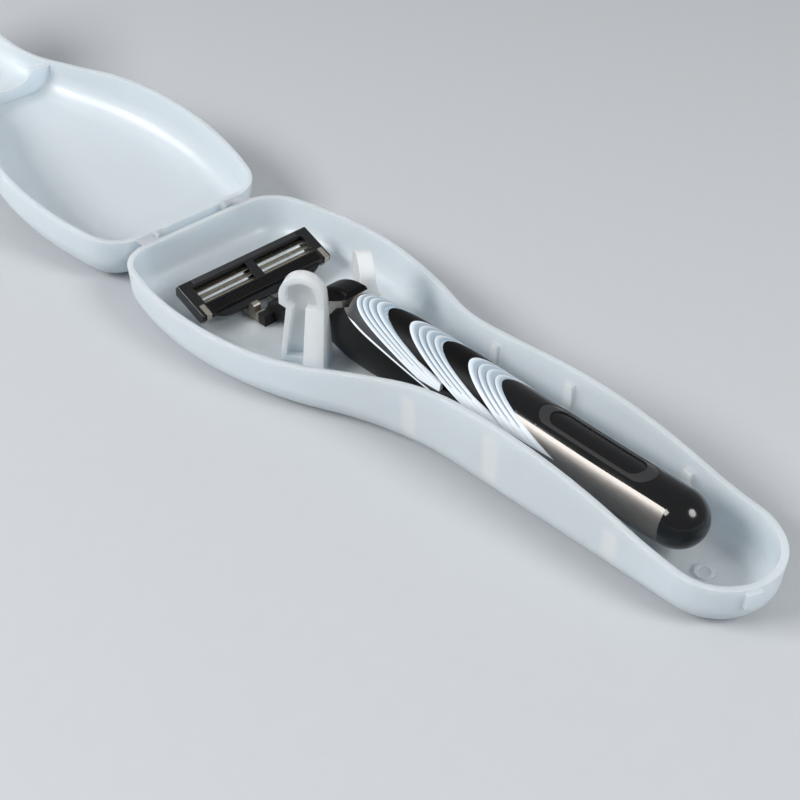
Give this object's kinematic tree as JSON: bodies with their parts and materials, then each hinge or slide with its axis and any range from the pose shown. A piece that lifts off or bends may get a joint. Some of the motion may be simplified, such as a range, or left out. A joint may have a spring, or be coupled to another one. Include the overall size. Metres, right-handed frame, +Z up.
{
  "type": "razor case",
  "caption": "Hinged paddle-shaped travel case of frosted plastic, lying open, with a three-blade razor held by two posts in its base tray",
  "frame": {"origin": "Middle of the base tray's flat underside, halfway between the hinge-end wall and the tail tip, on the table", "axes": "X runs along the case from the open lid past the hinge to the tail of the base, Y runs across the case, Z is up"},
  "size_m": [0.348, 0.059, 0.0493],
  "materials": {
    "frosted_plastic": "frosted translucent polypropylene",
    "satin_metal": "satin",
    "blade_steel": "polished",
    "gunmetal": "satin lacquer",
    "black_gloss": "gloss",
    "black_matte": "fine matte",
    "black_rubber": "smooth elastomer",
    "pale_rubber": "smooth elastomer"
  },
  "bodies": {
    "case": {"base_tray": "frosted_plastic", "neck": "satin_metal", "button_spring": "satin_metal", "end_cap": "black_gloss", "yoke": "black_matte", "plunger_spring": "satin_metal", "grip_fan_front": "pale_rubber", "grip_fan_middle": "pale_rubber", "grip_fan_rear": "pale_rubber", "grip_pad_front": "black_gloss", "grip_pad_rear": "black_gloss", "side_shell": "gunmetal", "top_cover": "black_gloss", "badge_plate": "gunmetal", "piping_near": "pale_rubber", "piping_far": "pale_rubber", "nose_cover": "black_rubber", "handle_core": "satin_metal"},
    "cover": {"lid": "frosted_plastic"},
    "cartridge": {"cartridge_housing": "black_matte", "blade_cap_side": "blade_steel", "blade_middle": "blade_steel", "blade_guard_side": "blade_steel", "lubricating_strip": "black_matte", "guard_fins": "black_rubber", "end_clip_near": "blade_steel", "end_clip_far": "blade_steel"},
    "return_pin": {"plunger": "satin_metal"},
    "release": {"release_button": "black_gloss", "ejector": "black_matte"}
  },
  "joints": [
    {"name": "lid_hinge", "type": "hinge", "parent": "case", "child": "cover", "pos_m": [-0.0879, 0, 0.0125], "axis": [0, 1, 0], "range_deg": [0, 170]},
    {"name": "cartridge_pivot", "type": "hinge", "parent": "case", "child": "cartridge", "pos_m": [-0.06422, 0, 0.00396], "axis": [0, -1, 0], "range_deg": [0, 35], "stiffness_Nm_per_rad": 0.02, "springref_deg": -17.19},
    {"name": "plunger_slide", "type": "slide", "parent": "case", "child": "return_pin", "axis": [1, 0, 0], "range_m": [0, 0.00075], "deforming": ["plunger_spring"]},
    {"name": "button_slide", "type": "slide", "parent": "case", "child": "release", "axis": [-0.8988, 0, -0.4384], "range_m": [0, 0.0025], "stiffness_N_per_m": 250, "springref_m": -0.002, "deforming": ["button_spring"]}
  ],
  "couplings": [
    {"joint": "plunger_slide", "follows": "cartridge_pivot", "m_per_rad": 0.0012}
  ]
}
